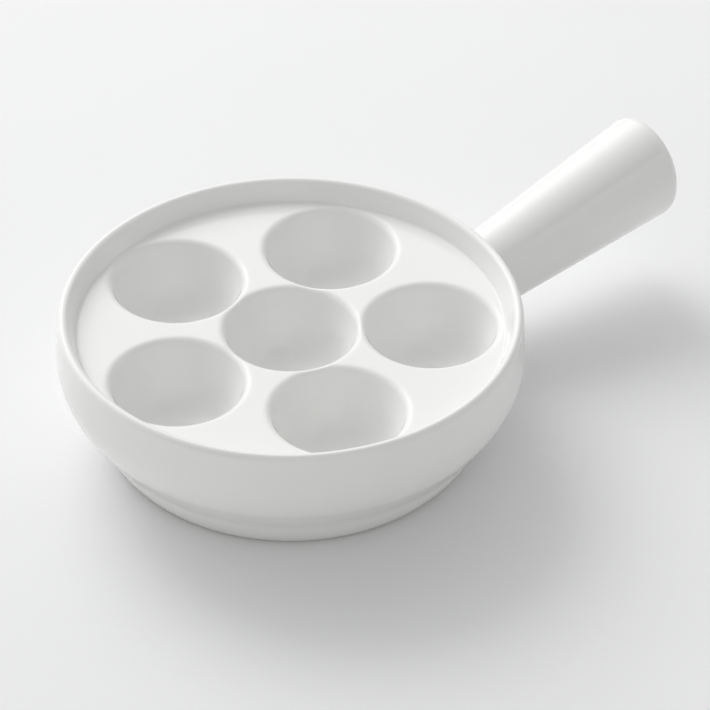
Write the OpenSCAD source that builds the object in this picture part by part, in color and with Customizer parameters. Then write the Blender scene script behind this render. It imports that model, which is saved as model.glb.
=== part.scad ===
// Escargot dish: a round bowl with a sunk tray of six wells and a straight hollow handle.
// The origin is on the bowl's axis at table level. +Z is up and +X runs along the handle.

/* [Wells] */
// Radius of a well at the throat of its mouth
well_r = 19.4; // [16:0.1:22]
// Rounding of a well's mouth
mouth_r = 2.5; // [1.5:0.1:3.5]
// Lean from upright of a well's side
well_lean = 20; // [8:1:25]
// Depth of a well below the deck
well_depth = 20; // [16:0.1:23]
// Radius of the round between a well's side and its floor
well_round = 12; // [8:0.1:13]
// Least clay between the middle well and the ring of wells
web_t = 2.9; // [2:0.1:5]
// Number of wells in the ring round the middle one
ring_wells = 5; // [3:1:5]
// Thickness of the cups under the tray
cup_t = 3.5; // [2.5:0.1:5]

/* [Tray] */
// Thickness of the tray's flat deck
deck_t = 4; // [3:0.1:6]
// Depth of the deck below the top of the lip
deck_drop = 6.5; // [6:0.1:10]
// Ledge between the ring's mouths and the bowl's wall
ledge_w = 2.2; // [1.5:0.1:6]
// Width on the deck of the slip seam between the deck and the wall
seam_w = 2; // [1:0.1:3]
// Height of the slip seam on the wall
seam_h = 4.7; // [3:0.1:5]
// Radius of the hollow at the foot of the slip seam
seam_r = 0.9; // [0.6:0.1:2]
// Thickness that the slip seam thins out to
seam_edge = 0.3; // [0.2:0.1:0.6]

/* [Bowl] */
// Height of the lip's top above the table
body_h = 43.4; // [41:0.1:52]
// Height of the bulge, where the bowl is widest
bulge_h = 30.7; // [27:0.1:34]
// Thickness of the wall at the bulge
wall_t = 4.2; // [3:0.1:6]
// How far the wall leans in from the bulge to the lip
lip_in = 0.7; // [0.3:0.1:2]
// How far the crease above the foot lies inside the bulge
crease_in = 10; // [7:0.1:12]
// Height of the crease above the table
crease_h = 9.8; // [7:0.1:13]
// Lean from upright of the straight wall above the crease
under_lean = 35; // [32:1:45]

/* [Foot] */
// How far the foot's edge lies inside the crease
foot_in = 5.4; // [3:0.1:8]
// Radius of the foot's rounded side
foot_round = 26; // [14:0.5:40]
// How far the joint of foot and wall lies below the crease
foot_joint = 0.4; // [0.2:0.1:2]
// Width of the foot ring's ground face
foot_w = 4.5; // [3:0.1:7]

/* [Handle] */
// Level distance from the bulge to the handle's end
handle_l = 70.8; // [50:0.1:110]
// Diameter of the handle at the bulge
handle_root_d = 23.8; // [20:0.1:26]
// Diameter of the handle at its end
handle_end_d = 32.7; // [26:0.1:38]
// Height of the handle's axis at the bulge
handle_h = 22.3; // [20:0.1:26]
// Rise of the handle's axis above level
handle_rise = 10.6; // [2:0.1:14]
// Thickness of the handle's wall
handle_t = 4.2; // [3.4:0.1:6]
// Rounding of the edge at the handle's end
handle_round = 3; // [1:0.1:3.2]
// Thickness of the slip between the handle and the bowl
slip_t = 1; // [0.6:0.1:2]
// How far the slip stands out round the handle
slip_proud = 0.8; // [0.4:0.1:1.5]

/* [Hidden] */
$fn = 96;
// Small allowances: where arcs cross straight runs, round the plug that shapes the handle's end, past
// a face that is cut through, and the least radius behind the bulge
hair = 0.005;
plug_ease = 0.05;
over = 1;
least_r = 0.5;

// Colours of the glazed and the bare clay
glaze_white = [0.96, 0.96, 0.95];
biscuit_white = [0.90, 0.88, 0.84];

// Plan of the tray, which sets the bowl's width
ring_r = 2 * well_r + web_t;
ring_step = 360 / ring_wells;
mouth_reach = well_r + mouth_r;
inner_r = ring_r + mouth_reach + ledge_w;
deck_z = body_h - deck_drop;

// Section of a well, measured from the deck: its mouth, leaning side and rounded floor
side_dir = [sin(well_lean), cos(well_lean)];
side_out = [cos(well_lean), -sin(well_lean)];
side_top = [mouth_reach, -mouth_r] - mouth_r * side_out;
side_low_z = well_round - well_depth + well_round * side_out.y;
side_low = side_top - (side_top.y - side_low_z) / side_dir.y * side_dir;
floor_centre = side_low - well_round * side_out;

// Section of the slip seam: a leaning face with a small hollow at its foot
seam_foot = [inner_r - seam_w, deck_z];
seam_head = [inner_r - seam_edge, deck_z + seam_h];
seam_dir = (seam_head - seam_foot) / norm(seam_head - seam_foot);
seam_air = [-seam_dir.y, seam_dir.x];
seam_run = (seam_edge + seam_r - seam_r * seam_air.y) / seam_dir.y;
seam_tangent = seam_foot + seam_run * seam_dir;
seam_centre = seam_tangent + seam_r * seam_air;

// Section of the bowl: lip, bulge, crease and foot
body_r = inner_r + wall_t;
lip_r = body_r - lip_in;
lip_round = (lip_r - inner_r) / 2;
lip_centre = [lip_r - lip_round, body_h - lip_round];
crease_r = body_r - crease_in;
foot_r = crease_r - foot_in;
foot_h = crease_h - foot_joint;
foot_way = [foot_in, crease_h];
foot_sink = sqrt(foot_round * foot_round - foot_way * foot_way / 4);
foot_centre = [foot_r, 0] + foot_way / 2 + foot_sink * [-crease_h, foot_in] / norm(foot_way);
wall_low = [crease_r - 2 * foot_joint * tan(under_lean), crease_h - 2 * foot_joint];
under_rise = bulge_h - crease_h;
under_r = (under_rise * sin(under_lean) - crease_in * cos(under_lean)) / (1 - cos(under_lean));
under_dir = [cos(under_lean), -sin(under_lean)];
bulge_centre = [body_r - under_r, bulge_h];
under_tangent = bulge_centre + under_r * under_dir;
lip_way = lip_centre - bulge_centre;
upper_lean = atan2(lip_way.y, lip_way.x) - acos((under_r - lip_round) / norm(lip_way));
upper_dir = [cos(upper_lean), sin(upper_lean)];
upper_tangent = bulge_centre + under_r * upper_dir;
lip_tangent = lip_centre + lip_round * upper_dir;
hollow_r = max(under_r - wall_t, least_r);
hollow_centre = [inner_r - hollow_r, bulge_h];
hollow_tangent = hollow_centre + hollow_r * under_dir;
hollow_crease_x = hollow_tangent.x - (hollow_tangent.y - crease_h) * tan(under_lean);

// Line of the handle, measured along its axis from the bulge
end_x = body_r + handle_l;
axis_l = handle_l / cos(handle_rise);
handle_slope = (handle_end_d - handle_root_d) / 2 / axis_l;
root_back = body_r - foot_r;
end_over = handle_end_d;
round_s = axis_l - handle_round / cos(handle_rise);
round_axis_z = handle_h + (handle_l - handle_round) * tan(handle_rise);
round_lift = handle_slope * handle_end_d / 2 * tan(handle_rise);

function handle_radius(s) = handle_root_d / 2 + handle_slope * s;
function ring_place(angle) = ring_r * [cos(angle), sin(angle)];
function well_places() = concat([[0, 0]], [for (i = [1 : ring_wells]) ring_place((i - 0.5) * ring_step)]);

// A disc in the half section, and a level band across it
module disc(centre, r) { translate(centre) circle(r); }
module band(z0, z1) { translate([0, z0]) square([2 * body_r, z1 - z0]); }

// Half section of the bowl's outside, filled to the axis: straight runs, then the foot, the bulge and
// the lip. The wall runs on into the round foot, and they cross at the crease. The other discs are a
// hair larger than their tangent circles, so that they cross the straight runs cleanly.
module bowl_half() {
    polygon([
        [0, wall_low.y], wall_low, under_tangent,
        upper_tangent, lip_tangent, [0, lip_tangent.y]
    ]);
    intersection() {
        disc(foot_centre, foot_round);
        band(0, (crease_h + under_tangent.y) / 2);
    }
    intersection() {
        disc(bulge_centre, under_r + hair);
        band(crease_h, (upper_tangent.y + lip_tangent.y) / 2);
    }
    disc(lip_centre, lip_round + hair);
}

// Half section of the bowl's inside, an even wall away from the outside
module hollow_half() {
    polygon([
        [0, -over], [foot_r - foot_w, -over], [foot_r - foot_w, 0], [hollow_crease_x, crease_h],
        hollow_tangent, [inner_r, bulge_h], [inner_r, body_h + over], [0, body_h + over]
    ]);
    intersection() {
        disc(hollow_centre, hollow_r + hair);
        band(crease_h, body_h);
    }
}

module wall_between(z0, z1) {
    rotate_extrude()
        intersection() {
            difference() {
                bowl_half();
                hollow_half();
            }
            band(z0, z1);
        }
}

// The half section's part under a height
module under(z) { translate([0, z - 2 * body_h]) square([2 * body_r, 2 * body_h]); }

// Half section of a cup down from a given height, moved out from the well by a given thickness
module cup_half(top_z, out) {
    low = side_low + out * side_out;
    floor_z = -well_depth - out;
    polygon([
        [0, floor_z], [floor_centre.x, floor_z], low,
        low + (top_z - low.y) / side_dir.y * side_dir, [0, top_z]
    ]);
    intersection() {
        disc(floor_centre, well_round + out + hair);
        under((low.y + top_z) / 2);
    }
}

// Half section of a well from the deck down, open for a given height above the deck
module well_half(above) {
    cup_half(side_top.y, 0);
    difference() {
        translate([0, side_top.y]) square([mouth_reach, -side_top.y]);
        disc([mouth_reach, -mouth_r], mouth_r);
    }
    square([mouth_reach, above]);
}

module at_wells() {
    for (p = well_places()) translate([p.x, p.y, deck_z]) children();
}

module well_hollows(above) {
    at_wells() rotate_extrude() well_half(above);
}

module along_handle() {
    translate([body_r, 0, handle_h]) rotate([0, 90 - handle_rise, 0]) children();
}

// The handle's cone from inside the bowl to past its end, grown or shrunk all round
module handle_cone(grow) {
    along_handle()
        translate([0, 0, -root_back])
            cylinder(
                h = root_back + axis_l + end_over,
                r1 = handle_radius(-root_back) + grow,
                r2 = handle_radius(axis_l + end_over) + grow
            );
}

// What the handle's upright end keeps: all before the rounding, then a round-edged plug
module end_keep() {
    plug_r = handle_radius(round_s) / cos(handle_rise) + plug_ease;
    block_w = 2 * handle_end_d;
    translate([0, -block_w / 2, round_axis_z - 2 * block_w])
        cube([end_x - handle_round, block_w, 4 * block_w]);
    translate([end_x - handle_round, 0, round_axis_z + round_lift])
        rotate([0, 90, 0])
            rotate_extrude()
                intersection() {
                    union() {
                        square([plug_r - handle_round, 2 * handle_round]);
                        disc([plug_r - handle_round, 0], handle_round + hair);
                    }
                    square([2 * plug_r, handle_round]);
                }
}

// The bowl's outside as a solid, moved out by a given thickness of slip
module bowl_solid(slip) {
    rotate(180) rotate_extrude() translate([slip, 0]) bowl_half();
}

// Outer wall with its rounded lip, its bulge and the drawn-in part above the foot
module bowl_wall() {
    color(glaze_white) wall_between(foot_h, body_h + over);
}

// Foot ring, ground bare where it stands on the table
module foot_ring() {
    color(biscuit_white) wall_between(0, foot_h);
}

// Sunk tray: a flat deck with one cup in the middle and a ring of cups round it
module well_tray() {
    color(glaze_white)
        difference() {
            union() {
                translate([0, 0, deck_z - deck_t]) cylinder(h = deck_t, r = inner_r);
                at_wells() rotate_extrude() cup_half(-deck_t / 2, cup_t);
            }
            well_hollows(over);
        }
}

// Slip seam that joins the deck to the wall, scalloped where the mouths come near
module tray_seam() {
    color(glaze_white)
        difference() {
            rotate_extrude()
                difference() {
                    polygon([
                        [seam_centre.x, deck_z], [inner_r, deck_z], [inner_r, seam_head.y],
                        seam_head, seam_tangent, seam_centre
                    ]);
                    disc(seam_centre, seam_r + hair);
                }
            well_hollows(seam_h + over);
        }
}

// Hollow tapered handle, open at its end and closed at its root by the bowl's wall
module handle() {
    color(glaze_white)
        difference() {
            intersection() {
                handle_cone(0);
                end_keep();
            }
            handle_cone(-handle_t);
            bowl_solid(slip_t);
        }
}

// Slip that sticks the handle's root to the wall
module handle_seam() {
    color(glaze_white)
        difference() {
            intersection() {
                handle_cone(slip_proud);
                bowl_solid(slip_t);
            }
            handle_cone(-handle_t);
            bowl_solid(0);
        }
}

bowl_wall();
foot_ring();
well_tray();
tray_seam();
handle();
handle_seam();
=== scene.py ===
# %% [markdown]
# # Escargot dish
# A white porcelain dish for baking snails: a round bowl with a sunk tray of six wells, a drawn-in
# foot and a straight hollow handle. The imported solids give the frame, in metres, with the origin
# on the bowl's axis at table level, +Z up and +X along the handle. This lesson makes a finer skin
# for each piece, gives it a glaze, and sets up a table, a soft light and a camera.

# %% Load the frame
import math
import bpy
import numpy as np
from mathutils import Matrix, Vector
from mathutils.geometry import delaunay_2d_cdt
from mathutils.kdtree import KDTree


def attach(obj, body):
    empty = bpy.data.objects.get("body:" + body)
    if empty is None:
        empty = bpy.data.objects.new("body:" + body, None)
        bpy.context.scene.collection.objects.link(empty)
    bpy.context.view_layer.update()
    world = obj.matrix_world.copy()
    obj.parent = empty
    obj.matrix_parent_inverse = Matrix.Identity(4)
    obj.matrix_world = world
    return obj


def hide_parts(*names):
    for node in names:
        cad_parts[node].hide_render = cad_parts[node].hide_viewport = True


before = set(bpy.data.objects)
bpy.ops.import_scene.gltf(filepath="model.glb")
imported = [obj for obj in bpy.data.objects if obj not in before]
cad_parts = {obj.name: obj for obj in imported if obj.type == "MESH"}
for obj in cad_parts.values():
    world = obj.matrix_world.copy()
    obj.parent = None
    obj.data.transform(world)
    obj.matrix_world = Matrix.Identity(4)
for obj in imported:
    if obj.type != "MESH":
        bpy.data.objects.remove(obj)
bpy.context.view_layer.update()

# %% [markdown]
# ## Sizes
# The same measures as in the solids, so that every skin sits on its own solid. Only rim_lean is this
# lesson's own: here the face inside the lip runs on into the slip below it at one lean. Soft edges
# that the solids leave plain get their sizes later, where they are drawn.

# %% Sizes in millimetres
MM = 0.001
well_r = 19.4
mouth_r = 2.5
well_lean = math.radians(20)
well_depth = 20.0
well_round = 12.0
web_t = 2.9
ring_wells = 5
deck_t = 4.0
deck_drop = 6.5
ledge_w = 2.2
cup_t = 3.5
rim_lean = math.radians(23)
seam_r = 0.9
body_h = 43.4
bulge_h = 30.7
wall_t = 4.2
lip_in = 0.7
crease_in = 10.0
crease_h = 9.8
under_lean = math.radians(35)
foot_in = 5.4
foot_round = 26.0
foot_joint = 0.4
foot_w = 4.5
handle_l = 70.8
handle_root_r = 11.9
handle_end_r = 16.35
handle_h = 22.3
handle_rise = math.radians(10.6)
handle_t = 4.2
handle_round = 3.0

ring_r = 2 * well_r + web_t
mouth_reach = well_r + mouth_r
inner_r = ring_r + mouth_reach + ledge_w
body_r = inner_r + wall_t
lip_r = body_r - lip_in
crease_r = body_r - crease_in
foot_r = crease_r - foot_in
foot_h = crease_h - foot_joint
deck_z = body_h - deck_drop
turn = 2 * math.pi
ring_turns = [(i + 0.5) * turn / ring_wells for i in range(ring_wells)]
well_places = np.array([(0.0, 0.0)] + [(ring_r * math.cos(a), ring_r * math.sin(a)) for a in ring_turns])
print("bowl radius", round(body_r, 2), "deck height", round(deck_z, 2), "well ring", round(ring_r, 2))

# %% [markdown]
# ## Small tools
# Three helpers carry the whole lesson. One plants a node in any node tree and wires it, and one does
# so for a single sum. The third wraps a shader socket, so that a finish can be written as plain
# arithmetic.

# %% Plant a node and wire it
def plant(tree, kind, settings=None, **inputs):
    node = tree.nodes.new(kind)
    for name, value in (settings or {}).items():
        setattr(node, name, value)
    for name, value in inputs.items():
        socket = node.inputs[int(name[1:])] if name[0] == "_" else node.inputs[name.replace("_", " ")]
        if isinstance(value, bpy.types.NodeSocket):
            tree.links.new(value, socket)
        elif isinstance(value, Wire):
            tree.links.new(value.socket, socket)
        else:
            socket.default_value = value
    return node


def maths(tree, operation, *terms):
    return plant(tree, "ShaderNodeMath", {"operation": operation},
                 **{"_%d" % i: term for i, term in enumerate(terms)}).outputs[0]


class Wire:
    """A shader socket that adds, multiplies and steps like a number."""

    def __init__(self, tree, socket):
        self.tree = tree
        self.socket = socket

    def sum_of(self, operation, *terms):
        return Wire(self.tree, maths(self.tree, operation, *terms))

    def __add__(self, other):
        return self.sum_of("ADD", self, other)

    def __sub__(self, other):
        return self.sum_of("SUBTRACT", self, other)

    def __rsub__(self, other):
        return self.sum_of("SUBTRACT", other, self)

    def __mul__(self, other):
        return self.sum_of("MULTIPLY", self, other)

    __radd__ = __add__
    __rmul__ = __mul__

    def below(self, edge):
        return self.sum_of("LESS_THAN", self, edge)

    def fade(self, start, end):
        node = plant(self.tree, "ShaderNodeMapRange", {"interpolation_type": "SMOOTHSTEP"},
                     _0=self, _1=start, _2=end, _3=0.0, _4=1.0)
        return Wire(self.tree, node.outputs[0])

    def blend(self, low, high):
        node = plant(self.tree, "ShaderNodeMix", {"data_type": "RGBA"}, _0=self, _6=low, _7=high)
        return Wire(self.tree, node.outputs[2])


# %% [markdown]
# ## Glaze
# Porcelain glaze is a thin clear glass over a white body. It isn't optically flat: it carries a
# slow ripple from the dip, its gloss varies a little, and a few pin-head specks are fired into it.
# The colour, roughness and bump come from soft noise on Object coordinates, so they stay on the
# piece in every view.

# %% Make the glaze
glaze_tints = (0.870, 0.870, 0.858, 1.0), (0.893, 0.893, 0.882, 1.0)
speck_tint = (0.36, 0.34, 0.31, 1.0)
speck_depth = 0.55
gloss_low, gloss_swing = 0.03, 0.03
fine_share = 0.12
glaze_ior = 1.5
bump_depth = 0.0002


def new_finish(name):
    finish = bpy.data.materials.new(name)
    finish.use_nodes = True
    finish.node_tree.nodes.clear()
    return finish, finish.node_tree


def noise(tree, place, scale, detail=2.0):
    node = plant(tree, "ShaderNodeTexNoise", Vector=place, Scale=scale, Detail=detail)
    return Wire(tree, node.outputs[0])


def specks(tree, place, scale, size, share):
    node = plant(tree, "ShaderNodeTexVoronoi", Vector=place, Scale=scale)
    near = Wire(tree, node.outputs["Distance"]).below(size)
    pick = plant(tree, "ShaderNodeSeparateColor", _0=node.outputs["Color"])
    return near * Wire(tree, pick.outputs[0]).below(share)


def glaze_nodes(tree, place):
    """Colour, roughness and height of the glaze, as sockets."""
    ripple = noise(tree, place, scale=95.0)
    cloud = noise(tree, place, scale=28.0)
    white = cloud.blend(*glaze_tints)
    spots = specks(tree, place, scale=70.0, size=0.010, share=0.035)
    colour = (spots * speck_depth).blend(white, speck_tint)
    rough = ripple * gloss_swing + gloss_low
    height = ripple + noise(tree, place, scale=420.0) * fine_share
    return colour, rough, height


glaze, tree = new_finish("white_glaze")
place = plant(tree, "ShaderNodeTexCoord").outputs["Object"]
colour, rough, height = glaze_nodes(tree, place)
bump = plant(tree, "ShaderNodeBump", Strength=0.2, Distance=bump_depth, Height=height)
body = plant(tree, "ShaderNodeBsdfPrincipled", Base_Color=colour, Roughness=rough, IOR=glaze_ior,
             Normal=bump.outputs[0])
plant(tree, "ShaderNodeOutputMaterial", Surface=body.outputs[0])
print("glaze nodes:", len(tree.nodes))

# %% [markdown]
# ## Bare foot
# The ground face of the foot has no glaze, or the dish would stick to the kiln shelf. The bare
# clay is a touch warmer and quite matt. The glaze stops in a slightly wandering line just above
# the table, so one finish holds both and changes over by height.

# %% Make the bare foot's finish
clay_tints = (0.70, 0.68, 0.63, 1.0), (0.80, 0.78, 0.74, 1.0)
grit_tint = (0.45, 0.40, 0.34, 1.0)
clay_rough = 0.75
grain_share = 0.5
glaze_line = 0.0008, 0.0012
line_wander = 0.0004
bare_foot, tree = new_finish("bare_foot")
place = plant(tree, "ShaderNodeTexCoord").outputs["Object"]
colour, rough, height = glaze_nodes(tree, place)
level = Wire(tree, plant(tree, "ShaderNodeSeparateXYZ", _0=place).outputs[2])
glazed = (level + noise(tree, place, scale=160.0) * line_wander).fade(*glaze_line)
grain = noise(tree, place, scale=2600.0, detail=4.0)
clay = grain.blend(*clay_tints)
clay = specks(tree, place, scale=900.0, size=0.16, share=0.03).blend(clay, grit_tint)
bump = plant(tree, "ShaderNodeBump", Strength=0.35, Distance=bump_depth,
             Height=height * glazed + grain * (1.0 - glazed) * grain_share)
body = plant(tree, "ShaderNodeBsdfPrincipled", Base_Color=glazed.blend(clay, colour),
             Roughness=rough * glazed + (1.0 - glazed) * clay_rough, IOR=glaze_ior,
             Normal=bump.outputs[0])
plant(tree, "ShaderNodeOutputMaterial", Surface=body.outputs[0])
print("bare foot nodes:", len(tree.nodes))

# %% [markdown]
# ## Section of the bowl
# The bowl was thrown or cast round an axis, so its whole shape is one section. Going up from the
# table there is the foot's round side, a soft crease, the wall that leans out to the bulge, and a
# lip that is rolled over to the inside. Arcs, straight runs and soft bends are written as lists of
# radius and height, in the order in which a finger would follow them.

# %% Draw the section
least_step = 0.02


def arc(centre, radius, start, end, count):
    """Points on an ellipse quarter or arc. radius is (across, up)."""
    angles = np.linspace(start, end, count)
    return [(centre[0] + radius[0] * math.cos(a), centre[1] + radius[1] * math.sin(a)) for a in angles]


def bend(a, b, c, count):
    """A bend from a to c that is pulled towards b."""
    return [tuple((1 - t) ** 2 * np.array(a) + 2 * t * (1 - t) * np.array(b) + t * t * np.array(c))
            for t in np.linspace(0, 1, count)]


def straight(a, b, count):
    return [tuple(np.array(a) + (np.array(b) - np.array(a)) * t) for t in np.linspace(0, 1, count)]


def joined(*runs):
    """One list of points without the doubled ends."""
    points = [runs[0][0]]
    for run in runs:
        points += [p for p in run if math.dist(p, points[-1]) > 1e-6]
    return [points[0]] + [q for p, q in zip(points, points[1:]) if math.dist(p, q) > least_step]


rise = bulge_h - crease_h
under_r = (rise * math.sin(under_lean) - crease_in * math.cos(under_lean)) / (1 - math.cos(under_lean))
bulge_at = (body_r - under_r, bulge_h)
lip_half = (lip_r - inner_r) / 2
lip_round = 1.6
lip_drop = 2.4
lip_ease = 0.02
crest_shift = 0.1
crest_r = (inner_r + lip_r) / 2 + crest_shift
face_dir = np.array((math.sin(rim_lean), math.cos(rim_lean)))
face_top = np.array((crest_r - lip_round * math.cos(rim_lean),
                     body_h - lip_round * (1 - math.sin(rim_lean))))
face_join = face_top - face_dir * ((face_top[0] - inner_r) / face_dir[0])
lip_at = (lip_r - lip_half, body_h - lip_half)
way = (lip_at[0] - bulge_at[0], lip_at[1] - bulge_at[1])
upper = math.atan2(way[1], way[0]) - math.acos((under_r - lip_half) / math.hypot(*way))
upper_start = (bulge_at[0] + under_r * math.cos(upper), bulge_at[1] + under_r * math.sin(upper))
upper_end = (lip_r - lip_ease, body_h - lip_drop)
under_end = (bulge_at[0] + under_r * math.cos(under_lean), bulge_at[1] - under_r * math.sin(under_lean))

foot_edge = 0.7
crease_soft = 2.0
lean_dir = np.array((math.sin(under_lean), math.cos(under_lean)))
crease = np.array((crease_r, crease_h))
foot_way = np.array((foot_in, crease_h))
foot_sink = math.sqrt(foot_round ** 2 - foot_way @ foot_way / 4)
foot_at = crease - foot_way / 2 + foot_sink * np.array((-crease_h, foot_in)) / math.hypot(*foot_way)
foot_low = math.atan2(-foot_at[1], foot_r - foot_at[0]) + foot_edge / foot_round
foot_high = math.atan2(crease_h - foot_at[1], crease_r - foot_at[0]) - crease_soft / foot_round
foot_side = arc(foot_at, (foot_round, foot_round), foot_low, foot_high, 28)
outside = joined(
    bend((foot_r - foot_edge, 0.0), (foot_r, 0.0), foot_side[0], 8),
    foot_side,
    bend(foot_side[-1], crease, crease + lean_dir * crease_soft, 12),
    straight(crease + lean_dir * crease_soft, under_end, 12),
    arc(bulge_at, (under_r, under_r), -under_lean, upper, 40),
    straight(upper_start, upper_end, 16),
    arc((crest_r, body_h - lip_drop), (upper_end[0] - crest_r, lip_drop), 0, math.pi / 2, 18),
)
hollow_r = under_r - wall_t
hollow_at = (inner_r - hollow_r, bulge_h)
hollow_end = (hollow_at[0] + hollow_r * math.cos(under_lean), bulge_h - hollow_r * math.sin(under_lean))
hollow_crease = (hollow_end[0] - (hollow_end[1] - crease_h) * math.tan(under_lean), crease_h)
inside = joined(
    arc((crest_r, body_h - lip_round), (lip_round, lip_round), math.pi / 2, math.pi - rim_lean, 14),
    straight(face_top, face_join, 5),
    straight(face_join, (inner_r, bulge_h), 12),
    arc(hollow_at, (hollow_r, hollow_r), 0, -under_lean, 24),
    straight(hollow_end, hollow_crease, 8),
    straight(hollow_crease, (foot_r - foot_w, foot_edge), 16),
    bend((foot_r - foot_w, foot_edge), (foot_r - foot_w, 0.0), (foot_r - foot_w + foot_edge, 0.0), 8),
)
section = joined(outside, inside)
print("section points:", len(section), "widest:", round(max(p[0] for p in section), 2))

# %% [markdown]
# ## Turn the section round the axis
# A Screw or Spin could do it, but a Geometry Nodes tree shows the rule itself: a flat grid has one
# side as the turn and the other as the section. Each grid point takes its place from the section
# and is then turned by its share of the circle. The same nodes make the bowl, the foot and, later,
# a well. Edges at the split height are kept sharp, so that a hidden joint face doesn't bleed its
# shading into the visible side.

# %% Build the turning tree
def new_tree(name, sizes):
    tree = bpy.data.node_groups.new(name, "GeometryNodeTree")
    tree.interface.new_socket("Geometry", in_out="INPUT", socket_type="NodeSocketGeometry")
    for label, kind in sizes:
        tree.interface.new_socket(label, in_out="INPUT", socket_type=kind)
    tree.interface.new_socket("Geometry", in_out="OUTPUT", socket_type="NodeSocketGeometry")
    return tree, tree.nodes.new("NodeGroupInput").outputs, tree.nodes.new("NodeGroupOutput").inputs


def turned_grid(tree, given):
    """The nodes that turn a section into a shell of revolution."""
    rows = maths(tree, "ADD", given["Steps"], 1.0)
    grid = plant(tree, "GeometryNodeMeshGrid", Size_X=1.0, Size_Y=1.0, Vertices_X=rows,
                 Vertices_Y=given["Points"])
    here = plant(tree, "ShaderNodeSeparateXYZ", _0=plant(tree, "GeometryNodeInputPosition").outputs[0])
    share = maths(tree, "ADD", here.outputs[0], 0.5)
    along = maths(tree, "ADD", here.outputs[1], 0.5)
    last = maths(tree, "SUBTRACT", given["Points"], 1.0)
    index = maths(tree, "ROUND", maths(tree, "MULTIPLY", along, last))
    taken = plant(tree, "GeometryNodeSampleIndex", {"data_type": "FLOAT_VECTOR", "domain": "POINT"},
                  Geometry=given["Geometry"], Value=plant(tree, "GeometryNodeInputPosition").outputs[0],
                  Index=index)
    angle = maths(tree, "MULTIPLY", share, turn)
    turned = plant(tree, "ShaderNodeVectorRotate", {"rotation_type": "Z_AXIS"}, Vector=taken.outputs[0],
                   Angle=angle)
    placed = plant(tree, "GeometryNodeSetPosition", Geometry=grid.outputs[0], Position=turned.outputs[0])
    return plant(tree, "GeometryNodeMergeByDistance", Geometry=placed.outputs[0], Distance=1e-6).outputs[0]


def sharp_at(tree, geometry, height):
    """Smooth shading, but sharp where both ends of an edge lie at the given height."""
    smooth = plant(tree, "GeometryNodeSetShadeSmooth", {"domain": "FACE"}, Geometry=geometry)
    ends = plant(tree, "GeometryNodeInputMeshEdgeVertices")
    hits = []
    for end in (ends.outputs["Position 1"], ends.outputs["Position 2"]):
        z = plant(tree, "ShaderNodeSeparateXYZ", _0=end).outputs[2]
        gap = maths(tree, "ABSOLUTE", maths(tree, "SUBTRACT", z, height))
        hits.append(maths(tree, "LESS_THAN", gap, 1e-6))
    both = maths(tree, "MULTIPLY", *hits)
    return plant(tree, "GeometryNodeSetShadeSmooth", {"domain": "EDGE"}, Geometry=smooth.outputs[0],
                 Selection=both, Shade_Smooth=False).outputs[0]


turned_tree, given, result = new_tree("turned_ring", [
    ("Points", "NodeSocketInt"), ("Steps", "NodeSocketInt"), ("Split", "NodeSocketFloat"),
    ("Finish", "NodeSocketMaterial")])
shell = sharp_at(turned_tree, turned_grid(turned_tree, given), given["Split"])
real = plant(turned_tree, "GeometryNodeRealizeInstances", Geometry=shell)
done = plant(turned_tree, "GeometryNodeSetMaterial", Geometry=real.outputs[0], Material=given["Finish"])
turned_tree.links.new(done.outputs[0], result[0])
print("turning tree:", len(turned_tree.nodes), "nodes")

# %% [markdown]
# ## Grow a piece from a tree
# A tree needs something to start from: here, the section as a string of points. The result is
# taken off as a plain mesh, checked for being right side out, and put on a new object.

# %% Grow a piece
def link(obj):
    bpy.context.scene.collection.objects.link(obj)
    return obj


def section_mesh(name, points):
    mesh = bpy.data.meshes.new(name)
    count = len(points)
    mesh.from_pydata([(r * MM, 0.0, z * MM) for r, z in points], [(i, i + 1) for i in range(count - 1)], [])
    return mesh


def grown(name, mesh, tree, **sizes):
    """Runs a tree on a mesh and returns the result as a plain mesh."""
    seed = link(bpy.data.objects.new(name + "_seed", mesh))
    modifier = seed.modifiers.new("grow", "NODES")
    modifier.node_group = tree
    for item in tree.interface.items_tree:
        if item.in_out == "INPUT" and item.name in sizes:
            modifier[item.identifier] = sizes[item.name]
    ready = seed.evaluated_get(bpy.context.evaluated_depsgraph_get())
    plain = bpy.data.meshes.new_from_object(ready)
    plain.name = name
    seed.modifiers.remove(modifier)
    bpy.data.objects.remove(seed)
    return plain


def volume(mesh):
    mesh.calc_loop_triangles()
    points = np.array([v.co for v in mesh.vertices])
    corners = points[np.array([t.vertices for t in mesh.loop_triangles])]
    return float(np.einsum("ij,ij->i", corners[:, 0], np.cross(corners[:, 1], corners[:, 2])).sum() / 6)


def right_side_out(mesh):
    if volume(mesh) < 0:
        mesh.flip_normals()
    return mesh


def finished(name, mesh, slot, *nodes):
    """Puts a mesh on an object, hides the solids it stands in for, and hangs it on the root."""
    obj = link(bpy.data.objects.new(name, mesh))
    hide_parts(*nodes)
    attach(obj, "root")
    print(name, len(mesh.polygons), "faces,", round(volume(mesh) * 1e6, 2), "ml")


# %% [markdown]
# ## Bowl wall and foot ring
# On the bench these are two rings with a joint between them. Both come from the one section, cut
# at the height of the joint, so that they meet edge to edge and the glaze runs on.

# %% Cut the section and turn both rings
def cut(points, z, above):
    """The part of a run of points on one side of a height, with a new point on the cut."""
    kept = []
    for p, q in zip(points, points[1:]):
        sides = [(v[1] >= z) == above for v in (p, q)]
        if sides[0]:
            kept.append(p)
        if sides[0] != sides[1]:
            t = (z - p[1]) / (q[1] - p[1])
            kept.append((p[0] + (q[0] - p[0]) * t, z))
    if (points[-1][1] >= z) == above:
        kept.append(points[-1])
    return kept


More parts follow.
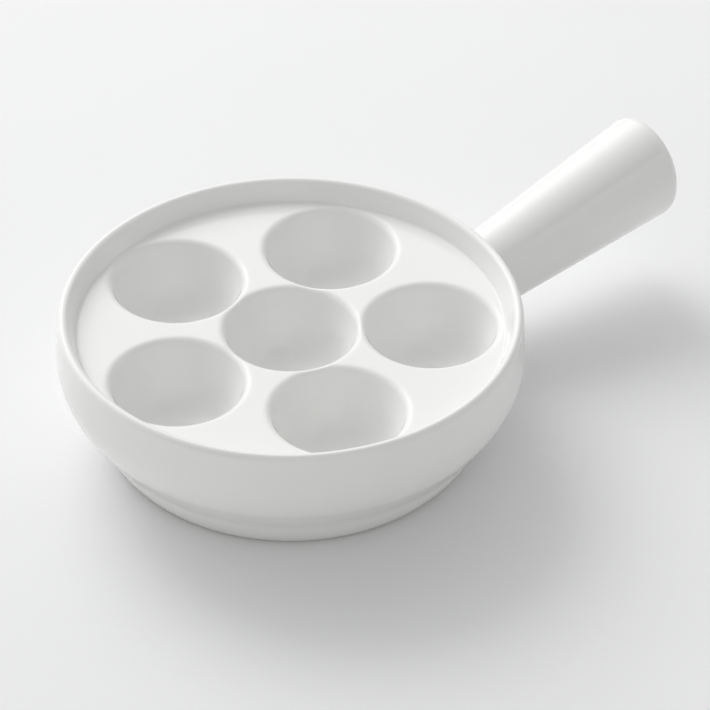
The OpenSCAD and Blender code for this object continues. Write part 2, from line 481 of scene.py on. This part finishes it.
turn_steps = 256
wall_out, wall_in = cut(outside, foot_h, True), cut(inside, foot_h, True)
wall_loop = joined(wall_out, wall_in, [wall_out[0]])
foot_out, foot_in_side = cut(outside, foot_h, False), cut(inside, foot_h, False)
foot_loop = joined(foot_out, [foot_in_side[0]], foot_in_side, [foot_out[0]])
finished("bowl_wall_skin", right_side_out(grown(
    "bowl_wall_skin", section_mesh("wall_section", wall_loop), turned_tree, Points=len(wall_loop),
    Steps=turn_steps, Split=foot_h * MM, Finish=glaze)), "glaze", "bowl_wall")
finished("foot_ring_skin", right_side_out(grown(
    "foot_ring_skin", section_mesh("foot_section", foot_loop), turned_tree, Points=len(foot_loop),
    Steps=turn_steps, Split=foot_h * MM, Finish=bare_foot)), "biscuit", "foot_ring")

# %% [markdown]
# ## Wells
# A well has a flat floor with a wide round edge, a side that leans out and a rounded mouth. All six
# are alike, so a tree turns one well from its section and sets it on a middle point and a ring of
# points. The wells stop part of the way up their mouths. From there on the mouths run into each
# other and into the wall's fillet, and the deck takes over.

# %% Grow the six wells
well_steps = 128
hold_d = 19.8
hold_angle = math.pi - math.acos((mouth_reach - hold_d) / mouth_r)
side_top = (mouth_reach - mouth_r * math.cos(well_lean), mouth_r * math.sin(well_lean) - mouth_r)
side_low_z = well_round - well_depth - well_round * math.sin(well_lean)
side_low = (side_top[0] - (side_top[1] - side_low_z) * math.tan(well_lean), side_low_z)
floor_at = (side_low[0] - well_round * math.cos(well_lean), well_round - well_depth)
well_section = joined(
    straight((0.0, -well_depth), (floor_at[0], -well_depth), 8),
    arc(floor_at, (well_round, well_round), -math.pi / 2, -well_lean, 30),
    straight(side_low, side_top, 14),
    arc((mouth_reach, -mouth_r), (mouth_r, mouth_r), math.pi - well_lean, hold_angle, 8),
)
wells_tree, given, result = new_tree("six_wells", [
    ("Points", "NodeSocketInt"), ("Steps", "NodeSocketInt"), ("Ring Radius", "NodeSocketFloat"),
    ("Ring Wells", "NodeSocketInt"), ("Deck Height", "NodeSocketFloat"), ("Finish", "NodeSocketMaterial")])
one_well = turned_grid(wells_tree, given)
ring = plant(wells_tree, "GeometryNodeMeshCircle", Vertices=given["Ring Wells"],
             Radius=given["Ring Radius"])
half = maths(wells_tree, "DIVIDE", math.pi, given["Ring Wells"])
spin = plant(wells_tree, "ShaderNodeCombineXYZ", Z=half)
lift = plant(wells_tree, "ShaderNodeCombineXYZ", Z=given["Deck Height"])
ring = plant(wells_tree, "GeometryNodeTransform", Geometry=ring.outputs[0], Rotation=spin.outputs[0])
middle = plant(wells_tree, "GeometryNodeMeshLine", Count=1)
both = plant(wells_tree, "GeometryNodeJoinGeometry")
wells_tree.links.new(middle.outputs[0], both.inputs[0])
wells_tree.links.new(ring.outputs[0], both.inputs[0])
spots = plant(wells_tree, "GeometryNodeTransform", Geometry=both.outputs[0], Translation=lift.outputs[0])
copies = plant(wells_tree, "GeometryNodeInstanceOnPoints", Points=spots.outputs[0], Instance=one_well)
real = plant(wells_tree, "GeometryNodeRealizeInstances", Geometry=copies.outputs[0])
done = plant(wells_tree, "GeometryNodeSetMaterial", Geometry=real.outputs[0], Material=given["Finish"])
wells_tree.links.new(done.outputs[0], result[0])
ring_sizes = {"Ring Radius": ring_r * MM, "Ring Wells": ring_wells, "Deck Height": deck_z * MM}
wells_mesh = grown("wells", section_mesh("well_section", well_section), wells_tree,
                   Points=len(well_section), Steps=well_steps, Finish=glaze, **ring_sizes)
wells_at = np.array([v.co for v in wells_mesh.vertices]) / MM
wells_faces = [tuple(p.vertices) for p in wells_mesh.polygons]
print("wells:", len(wells_faces), "faces, lowest", round(wells_at[:, 2].min(), 2))

# %% [markdown]
# ## Deck
# The deck is flat clay that rolls into every mouth. Its height at any point is the flat level, less
# the drop of each mouth. Because each drop starts level, their sum is smooth, also on the narrow
# webs where two mouths meet. A triangulation between the six mouths and the fillet's inner edge
# carries that height, with points packed closely where the surface bends.

# %% Measure the deck
steepest_share = 0.999
row_share = 0.866
face_foot = face_join - face_dir * ((face_join[1] - deck_z) / face_dir[1])
fillet_from = face_foot[0] - seam_r * math.tan((math.pi / 2 - rim_lean) / 2)


def unit(v):
    return v / np.linalg.norm(v, axis=1, keepdims=True)


def well_distance(xy):
    return np.linalg.norm(xy[:, None, :] - well_places[None, :, :], axis=2)


def drop_and_slope(xy):
    """How far the mouths lower the deck, and the gradient of that drop."""
    away = xy[:, None, :] - well_places[None, :, :]
    d = np.maximum(np.linalg.norm(away, axis=2), 1e-9)
    x = np.clip(mouth_reach - d, 0.0, mouth_r * steepest_share)
    root = np.sqrt(mouth_r ** 2 - x ** 2)
    drop = (mouth_r - root).sum(axis=1)
    slope = ((-x / root)[:, :, None] * away / d[:, :, None]).sum(axis=1)
    return drop, slope


def deck_surface(xy):
    """Places and normals on the deck inside the fillet."""
    drop, slope = drop_and_slope(xy)
    places = np.column_stack([xy, deck_z - drop])
    return places, unit(np.column_stack([slope, np.ones(len(xy))]))


def circle(centre, radius, count, shift=0.0):
    a = (np.arange(count) + shift) * turn / count
    return np.column_stack([centre[0] + radius * np.cos(a), centre[1] + radius * np.sin(a)])


def lattice(pitch, cols, rows):
    """A triangular lattice round the axis, with so many columns and rows to each side of it."""
    col, row = np.meshgrid(np.arange(-cols, cols + 1), np.arange(-rows, rows + 1))
    return np.column_stack([((col + 0.5 * (row % 2)) * pitch).ravel(), (row * pitch * row_share).ravel()])


def loop_edges(count, first=0):
    return [(first + i, first + (i + 1) % count) for i in range(count)]


def triangulated(points, edges):
    """Points and triangles of a flat net that keeps the given edges."""
    flat, _, tris, *_ = delaunay_2d_cdt([Vector(p) for p in points], edges, [], 0, 1e-6)
    return np.array([tuple(p) for p in flat]), np.array(tris)


def turn_of(flat, tris):
    """More than zero where a triangle runs anticlockwise."""
    a, b, c = (flat[tris[:, i]] for i in range(3))
    return np.cross(b - a, c - a)


print("deck reaches the fillet at", round(fillet_from, 2))

# %% Net the deck
seam_steps = 320
mouth_rings = (19.95, 20.2, 20.5, 20.85, 21.25, 21.7, 22.2, 22.9)
mouth_steps = 110
ring_overlap, ring_clear = 0.05, 0.25
lattice_from, lattice_clear = 23.6, 0.8
loops = [circle((0, 0), fillet_from, seam_steps)] + [circle(p, hold_d, well_steps) for p in well_places]
fill = []
for w, p in enumerate(well_places):
    for k, d in enumerate(mouth_rings):
        ring_points = circle(p, d, mouth_steps, 0.5 * (k % 2))
        nearest = np.delete(well_distance(ring_points), w, axis=1).min(axis=1)
        keep = (nearest > d - ring_overlap) & (np.hypot(*ring_points.T) < fillet_from - ring_clear)
        fill.append(ring_points[keep])
flats = lattice(pitch=1.6, cols=45, rows=52)
keep = ((well_distance(flats).min(axis=1) > lattice_from)
        & (np.hypot(*flats.T) < fillet_from - lattice_clear))
fill.append(flats[keep])
edges, first = [], 0
for loop in loops:
    edges += loop_edges(len(loop), first)
    first += len(loop)
flat, tris = triangulated(np.vstack(loops + fill), edges)
middles = flat[tris].mean(axis=1)
deck_tris = tris[(well_distance(middles).min(axis=1) > hold_d * math.cos(math.pi / well_steps) - 1e-3)
                 & (np.hypot(*middles.T) < fillet_from)]
turned_wrong = turn_of(flat, deck_tris) < 0
deck_tris[turned_wrong] = deck_tris[turned_wrong][:, ::-1]
deck_at, deck_normals = deck_surface(flat)
print("deck:", len(deck_tris), "triangles")

# %% [markdown]
# ## Underside of the tray
# From below the tray shows the backs of the six cups, which hang from the deck like bubbles and run
# into each other with soft valleys. Each back has a flat, a round edge and a side that leans out to
# the deck. A smooth minimum of the seven heights gives the valleys for free.

# %% Shape the underside
deck_low = deck_z - deck_t
back_r = well_round + cup_t
back_reach = back_r * math.cos(well_lean)
valley_w = 2.5
rim_clear = 0.6


def cup_back(d):
    """Height of one cup's back: a flat, a round edge, and a side that leaves it at the lean."""
    past = np.clip(d - floor_at[0], 0.0, back_reach)
    ball = deck_z + floor_at[1] - np.sqrt(back_r ** 2 - past ** 2)
    return ball + np.maximum(d - (floor_at[0] + back_reach), 0.0) / math.tan(well_lean)


def soft_low(a, b, width):
    """The lower of two heights, with a soft change from one to the other."""
    h = np.clip(0.5 + 0.5 * (b - a) / width, 0.0, 1.0)
    return b + (a - b) * h - width * h * (1.0 - h)


def under_height(xy):
    d = well_distance(xy)
    low = np.full(len(xy), deck_low)
    for w in range(len(well_places)):
        low = soft_low(low, cup_back(d[:, w]), valley_w)
    return low


def under_surface(xy):
    step = 0.02
    here = under_height(xy)
    across = (under_height(xy + (step, 0)) - under_height(xy - (step, 0))) / (2 * step)
    along = (under_height(xy + (0, step)) - under_height(xy - (0, step))) / (2 * step)
    return np.column_stack([xy, here]), unit(np.column_stack([across, along, -np.ones(len(xy))]))


rim_loop = circle((0, 0), inner_r, seam_steps)
flats = lattice(pitch=1.1, cols=62, rows=72)
flats = flats[np.hypot(*flats.T) < inner_r - rim_clear]
under_flat, under_tris = triangulated(np.vstack([rim_loop, flats]), loop_edges(seam_steps))
turned_wrong = turn_of(under_flat, under_tris) > 0
under_tris[turned_wrong] = under_tris[turned_wrong][:, ::-1]
under_at, under_normals = under_surface(under_flat)
print("underside:", len(under_tris), "triangles, lowest", round(under_at[:, 2].min(), 2))

# %% [markdown]
# ## Put the tray together
# Wells, deck and underside are sewn into one closed casting. Under the fillet, where nobody sees
# it, the deck steps down to a flat seat. The normals come from the formulas, so the glaze shows no
# trace of the triangles.

# %% Collect a piece row by row
weld_gap = 0.002


def near_tree(points):
    """A search tree for the points near a place."""
    near = KDTree(len(points))
    for i, place in enumerate(points):
        near.insert(place, i)
    near.balance()
    return near


class Shell:
    """Collects points, normals and faces of one piece, in millimetres."""

    def __init__(self):
        self.places, self.normals, self.faces, self.count = [], [], [], 0

    def add(self, places, normals, faces=()):
        first = self.count
        self.places.append(np.asarray(places, dtype=float))
        self.normals.append(np.asarray(normals, dtype=float))
        self.faces += [tuple(int(i) + first for i in face) for face in faces]
        self.count += len(places)
        return np.arange(first, self.count)

    def strip(self, low, high):
        """Quads between two closed rows of points that were added before."""
        for i in range(len(low)):
            j = (i + 1) % len(low)
            self.faces.append((int(low[i]), int(low[j]), int(high[j]), int(high[i])))

    def sheet(self, places, normals):
        """Adds rows of points, with quads from each row to the next."""
        rows = [self.add(p, n) for p, n in zip(places, normals)]
        for low, high in zip(rows, rows[1:]):
            self.strip(high, low)

    def band(self, high, low, normals):
        """A sheet of two rows that share their normals."""
        self.sheet((high, low), (normals, normals))

    def mesh(self, name, finish):
        """Welds points that share a place. Each corner of a face keeps its own normal."""
        places, normals = np.vstack(self.places), np.vstack(self.normals)
        near = near_tree(places)
        owner = [min(hit[1] for hit in near.find_range(place, weld_gap)) for place in places]
        number = {old: new for new, old in enumerate(sorted(set(owner)))}
        faces, corners = [], []
        for face in self.faces:
            first = {}
            for i in face:
                first.setdefault(number[owner[i]], i)
            if len(first) > 2:
                faces.append(tuple(first))
                corners += [tuple(normals[i]) for i in first.values()]
        mesh = bpy.data.meshes.new(name)
        mesh.from_pydata([tuple(places[old] * MM) for old in number], [], faces)
        mesh.materials.append(finish)
        mesh.shade_smooth()
        mesh.normals_split_custom_set(corners)
        return mesh


# %% Sew the tray
def well_normals(places):
    """Normals inside the wells: square to the section, towards the hollow."""
    owner = np.argmin(well_distance(places[:, :2]), axis=1)
    level = places[:, :2] - well_places[owner]
    d = np.linalg.norm(level, axis=1, keepdims=True)
    line = np.array(well_section)
    run = np.concatenate([[0.0], np.cumsum(np.linalg.norm(np.diff(line, axis=0), axis=1))])
    along, rise = np.gradient(line[:, 0], run), np.gradient(line[:, 1], run)
    near = near_tree([(r, z, 0.0) for r, z in line])
    spot = [near.find((r, z - deck_z, 0.0))[1] for r, z in zip(d[:, 0], places[:, 2])]
    inward = -level / np.maximum(d, 1e-9) * rise[spot][:, None]
    return unit(np.column_stack([inward, along[spot]]))


def at_height(loop, z):
    """A flat loop of points at one height, or at a height for each point."""
    return np.column_stack([loop, np.broadcast_to(z, (len(loop),))])


tray = Shell()
normals = well_normals(wells_at)
a, b, c = (wells_at[[f[i] for f in wells_faces]] for i in range(3))
facing = np.einsum("ij,ij->i", np.cross(b - a, c - a), normals[[f[1] for f in wells_faces]])
tray.add(wells_at, normals, [f if s > 0 else f[::-1] for f, s in zip(wells_faces, facing)])
tray.add(deck_at, deck_normals, deck_tris)
tray.add(under_at, under_normals, under_tris)
seat_drop = 1.5
seat_z = deck_z - seat_drop
edge_top = deck_surface(loops[0])[0]
seat_in, seat_out = at_height(loops[0], seat_z), at_height(rim_loop, seat_z)
outward = at_height(rim_loop / inner_r, 0.0)
up = np.tile((0.0, 0.0, 1.0), (seam_steps, 1))
tray.band(edge_top, seat_in, outward)
tray.band(seat_in, seat_out, up)
tray.band(seat_out, at_height(rim_loop, under_height(rim_loop)), outward)
finished("well_tray_skin", tray.mesh("well_tray_skin", glaze), "glaze", "well_tray")

# %% [markdown]
# ## Fillet between tray and wall
# The tray is stuck into the wall with slip, which is trimmed to a leaning face with a small hollow at
# its foot. The nearest mouths bite into the hollow. It follows the same sum of heights as the deck,
# but its rows go by the slope of the section, because the face is steep.

# %% Draw the fillet
seam = Shell()
places, normals = [], []
steepest = math.pi / 2 - rim_lean
hollow = [(fillet_from + seam_r * math.sin(a), deck_z + seam_r * (1 - math.cos(a)), a)
          for a in np.linspace(0.0, steepest, 18)]
face = [(r, z, steepest) for r, z in straight(hollow[-1][:2], face_join, 12)]
for r, level, phi in hollow + face[1:]:
    xy = circle((0, 0), r, seam_steps)
    drop, slope = drop_and_slope(xy)
    places.append(at_height(xy, level - drop))
    normals.append(unit(at_height(-math.sin(phi) * unit(xy) + math.cos(phi) * slope, math.cos(phi))))
seam.sheet(places, normals)
seam.band(at_height(rim_loop, face_join[1]), seat_out, outward)
seam.band(seat_out, seat_in, -up)
seam.band(seat_in, edge_top, -outward)
finished("tray_seam_skin", seam.mesh("tray_seam_skin", glaze), "glaze", "tray_seam")

# %% [markdown]
# ## Handle
# The handle is a hollow tapered casting that rises from the bulge, is cut off upright at its end
# and has its edges rounded by a sponge. Its skin is made of rings of points: every generator of
# the cone runs from the bowl to the end, turns over the edge in a true arc, crosses the end face
# and goes back down the bore.

# %% Lay out the handle's generators
handle_steps = 144
search_reach, halvings = 25.0, 50
foot_clear = 1.0
slip_reach = 1.6
end_x = body_r + handle_l
axis = np.array((math.cos(handle_rise), 0.0, math.sin(handle_rise)))
side = np.array((0.0, 1.0, 0.0))
above = np.cross(axis, side)
root = np.array((body_r, 0.0, handle_h))
axis_l = handle_l / math.cos(handle_rise)
taper = (handle_end_r - handle_root_r) / axis_l
phis = np.arange(handle_steps) * turn / handle_steps
radial = np.cos(phis)[:, None] * above + np.sin(phis)[:, None] * side


def on_cone(s, grow=0.0):
    """Points at distances s along the axis, one for each generator."""
    s = np.broadcast_to(s, (handle_steps,))
    return root + s[:, None] * axis + (handle_root_r + taper * s + grow)[:, None] * radial


outer_line = np.array([p for p in outside if p[1] > foot_clear])


def bowl_radius(z):
    """The bowl's outer radius at a height."""
    below_crest = outer_line[: int(np.argmax(outer_line[:, 1])) + 1]
    return np.interp(z, below_crest[:, 1], below_crest[:, 0])


def meets_bowl(grow=0.0):
    """Where each generator of the cone, grown by some thickness, enters the bowl."""
    low, high = np.full(handle_steps, -search_reach), np.full(handle_steps, search_reach)
    for _ in range(halvings):
        middle_s = (low + high) / 2
        p = on_cone(middle_s, grow)
        outside_bowl = np.hypot(p[:, 0], p[:, 1]) > bowl_radius(p[:, 2])
        high = np.where(outside_bowl, middle_s, high)
        low = np.where(outside_bowl, low, middle_s)
    return (low + high) / 2


def round_turn(corner, come, go, size, count):
    """Rows of a true arc that turns from one direction into another at a corner."""
    cos_turn = np.einsum("ij,ij->i", come, go)
    turn_angle = np.arccos(np.clip(cos_turn, -1, 1))
    reach = size * np.tan(turn_angle / 2)
    weight = np.cos(turn_angle / 2)[:, None]
    a, c = corner - come * reach[:, None], corner + go * reach[:, None]
    for t in np.linspace(0, 1, count):
        wa, wb, wc = (1 - t) ** 2, 2 * t * (1 - t) * weight, t * t
        yield (a * wa + corner * wb + c * wc) / (wa + wb + wc)


root_s = meets_bowl()
generator = unit(on_cone(1.0) - on_cone(0.0))
at_zero = on_cone(0.0)
end_edge = at_zero + generator * ((end_x - at_zero[:, 0]) / generator[:, 0])[:, None]
bore_zero = on_cone(0.0, -handle_t)
bore_way = unit(on_cone(1.0, -handle_t) - bore_zero)
bore_edge = bore_zero + bore_way * ((end_x - bore_zero[:, 0]) / bore_way[:, 0])[:, None]
inwards = unit(bore_edge - end_edge)
print("handle end:", round(end_x, 2), "top", round(end_edge[:, 2].max(), 2),
      "root from", round(root_s.min(), 2))

# %% Skin the handle
def ring_normals(rows):
    """Normals of a pipe of rows, from the way across and along it."""
    grid = np.array(rows)
    along = np.gradient(grid, axis=0)
    across = np.roll(grid, -1, axis=1) - np.roll(grid, 1, axis=1)
    normals = np.cross(along, across)
    return normals / np.maximum(np.linalg.norm(normals, axis=2, keepdims=True), 1e-12)


def spread(a, b, count):
    """Rows of points on the way from one row to another."""
    return [a + (b - a) * t for t in np.linspace(0, 1, count)]


bore_round = 1.1
bore_gap = 0.2
start = on_cone(root_s + slip_reach)
stop = end_edge - generator * handle_round
edge_arc = list(round_turn(end_edge, generator, inwards, handle_round, 14))
bore_arc = list(round_turn(bore_edge, inwards, -bore_way, bore_round, 9))
bore_s = meets_bowl(-handle_t)
bore_root = on_cone(bore_s + bore_gap, -handle_t)
pipe = spread(start, stop, 40)[:-1] + edge_arc + bore_arc + spread(bore_arc[-1], bore_root, 30)[1:]
normals = ring_normals(pipe)
cone_tilt = math.atan(taper)
cone_normals = radial * math.cos(cone_tilt) - axis * math.sin(cone_tilt)
normals[0] = cone_normals
grip = Shell()
grip.sheet(pipe, normals)
back = np.tile(-axis, (handle_steps, 1))
grip.band(pipe[-1], pipe[0], back)
finished("handle_skin", grip.mesh("handle_skin", glaze), "glaze", "handle")

# %% [markdown]
# ## Slip round the handle's root
# Where the handle is stuck on, a thin bead of slip is smoothed into a small fillet. On each
# generator it is a bend that leaves along the handle and lands along the bowl.

# %% Skin the slip
landing_s = meets_bowl(slip_reach)
landing = on_cone(landing_s, slip_reach)
corner = on_cone(root_s)
bead = [landing * (1 - t) ** 2 + 2 * t * (1 - t) * corner + t * t * start for t in np.linspace(0, 1, 15)]
normals = ring_normals(bead)
normals[-1] = cone_normals
bore_start = on_cone(bore_s, -handle_t)
slip = Shell()
slip.sheet(bead, normals)
slip.band(start, bore_root, -back)
slip.band(bore_root, bore_start, -radial)
slip.band(bore_start, landing, back)
finished("handle_seam_skin", slip.mesh("handle_seam_skin", glaze), "glaze", "handle_seam")

# %% [markdown]
# ## Table
# A plain pale table keeps the dish's shadow. It is one large plane with a faint cloudiness.

# %% Lay the table
table_tints = (0.855, 0.857, 0.859, 1.0), (0.892, 0.894, 0.896, 1.0)
reach = 4.0
corners = [(-reach, -reach, 0), (reach, -reach, 0), (reach, reach, 0), (-reach, reach, 0)]
floor_finish, tree = new_finish("pale_table")
place = plant(tree, "ShaderNodeTexCoord").outputs["Object"]
cloud = noise(tree, place, scale=6.0, detail=5.0)
tint = cloud.blend(*table_tints)
body = plant(tree, "ShaderNodeBsdfPrincipled", Base_Color=tint, Roughness=0.75)
plant(tree, "ShaderNodeOutputMaterial", Surface=body.outputs[0])
plane = bpy.data.meshes.new("table")
plane.from_pydata(corners, [], [(0, 1, 2, 3)])
plane.materials.append(floor_finish)
table = link(bpy.data.objects.new("table", plane))
print("table:", 2 * reach, "m wide")

# %% [markdown]
# ## Camera
# The view was found by a fit: the lip, the wells' mouths and the foot are circles, and their
# flattening gives the angle from above. The camera stands far off with a long lens. It looks a
# little past the dish, so that the dish sits in the frame as it does in the picture and no shift
# is needed.

# %% Set up the camera
view_az, view_el, view_roll = math.radians(-36.94), math.radians(38.93), math.radians(-0.66)
view_far, view_px, frame_px = 1.2, 3958.0, 710.0
axis_px = (292.08, 424.07)
sensor_w = 36.0
behind = Vector((math.sin(view_az) * math.cos(view_el), -math.cos(view_az) * math.cos(view_el),
                 math.sin(view_el)))
right = Vector((math.cos(view_az), math.sin(view_az), 0.0))
top = behind.cross(right)
right, top = (right * math.cos(view_roll) + top * math.sin(view_roll),
              top * math.cos(view_roll) - right * math.sin(view_roll))
ahead = (-behind + right * ((frame_px / 2 - axis_px[0]) / view_px)
         + top * ((axis_px[1] - frame_px / 2) / view_px)).normalized()
right = (right - ahead * right.dot(ahead)).normalized()
top = right.cross(ahead)
lens = bpy.data.cameras.new("view")
lens.sensor_width = sensor_w
lens.lens = view_px * sensor_w / frame_px
lens.clip_start, lens.clip_end = 0.05, 50.0
camera = link(bpy.data.objects.new("view", lens))
turned = Matrix((right, top, -ahead)).transposed().to_4x4()
camera.matrix_world = Matrix.Translation(behind * view_far) @ turned
bpy.context.scene.camera = camera
print("lens", round(lens.lens, 1), "mm")

# %% [markdown]
# ## Light
# The dish stands in a pale room. A round lamp behind it on the left, about thirty-seven degrees up,
# draws the shadow to the front and right. The glaze doesn't mirror the lamp itself but the softer
# window round it, so its highlights stay soft. Each part of the room is a soft patch of brightness
# round one direction. A white card stands at the right front: its upper edge is the clean line that
# runs along the handle.

# %% Light the room
world = bpy.data.worlds.new("room")
bpy.context.scene.world = world
world.use_nodes = True
tree = world.node_tree
tree.nodes.clear()
level_ahead = Vector((-behind.x, -behind.y, 0.0)).normalized()
level_right = Vector((right.x, right.y, 0.0)).normalized()
seen = plant(tree, "ShaderNodeVectorMath", {"operation": "NORMALIZE"},
             _0=plant(tree, "ShaderNodeTexCoord").outputs["Generated"]).outputs[0]


def way_to(turn_deg, up_deg):
    """A direction from the dish: turned to the right from straight behind it, and up from level."""
    turned_by, up = math.radians(turn_deg), math.radians(up_deg)
    way = (level_ahead * math.cos(turned_by) + level_right * math.sin(turned_by)) * math.cos(up)
    return Vector((way.x, way.y, math.sin(up)))


def glow(turn_deg, up_deg, strength, width_deg=28):
    """A soft patch of brightness on the room's walls."""
    near = plant(tree, "ShaderNodeVectorMath", {"operation": "DOT_PRODUCT"}, _0=seen,
                 _1=way_to(turn_deg, up_deg))
    fall = (Wire(tree, near.outputs["Value"]) - 1.0) * (1.0 / math.radians(width_deg) ** 2)
    return fall.sum_of("EXPONENT", fall) * strength


# A patch has its turn, its height in degrees and its strength, and the window its width too.
room_level = 0.16
window = (-35, 34, 2.0, 15)
patches = ((-90, 8, 0.7), (0, 45, 0.8), (180, 45, 0.38))
card_turn, card_sides, card_top = 125, (0.2, 0.6), (48, 50)
card_light, card_mirrored, mirrored_step = 0.24, 0.35, 0.57
lamp_way, lamp_far = way_to(-27, 37), 1.5
bright = glow(*window) + room_level
for patch in patches:
    bright = bright + glow(*patch)
level = Wire(tree, plant(tree, "ShaderNodeSeparateXYZ", _0=seen).outputs[2])
to_card = plant(tree, "ShaderNodeVectorMath", {"operation": "DOT_PRODUCT"}, _0=seen,
                _1=way_to(card_turn, 0))
on_card = Wire(tree, to_card.outputs["Value"]).fade(*card_sides)
over_card = level.fade(*(math.sin(math.radians(up_deg)) for up_deg in card_top))
mirrored = Wire(tree, plant(tree, "ShaderNodeLightPath").outputs["Is Glossy Ray"])
bright = bright + on_card * ((1.0 - over_card) * card_light
                             + mirrored * (card_mirrored - over_card * mirrored_step))
room = plant(tree, "ShaderNodeBackground", Color=(1.0, 1.0, 1.0, 1.0), Strength=bright)
plant(tree, "ShaderNodeOutputWorld", Surface=room.outputs[0])
lamp = bpy.data.lights.new("lamp", "AREA")
lamp.shape = "DISK"
lamp.size = 1.0
lamp.energy = 8.2
key_lamp = link(bpy.data.objects.new("lamp", lamp))
key_lamp.location = lamp_way * lamp_far
key_lamp.rotation_euler = lamp_way.to_track_quat("Z", "Y").to_euler()
key_lamp.visible_glossy = False
bpy.context.scene.view_settings.view_transform = "Standard"
print("room nodes:", len(tree.nodes), "lamp at", [round(v, 2) for v in key_lamp.location])
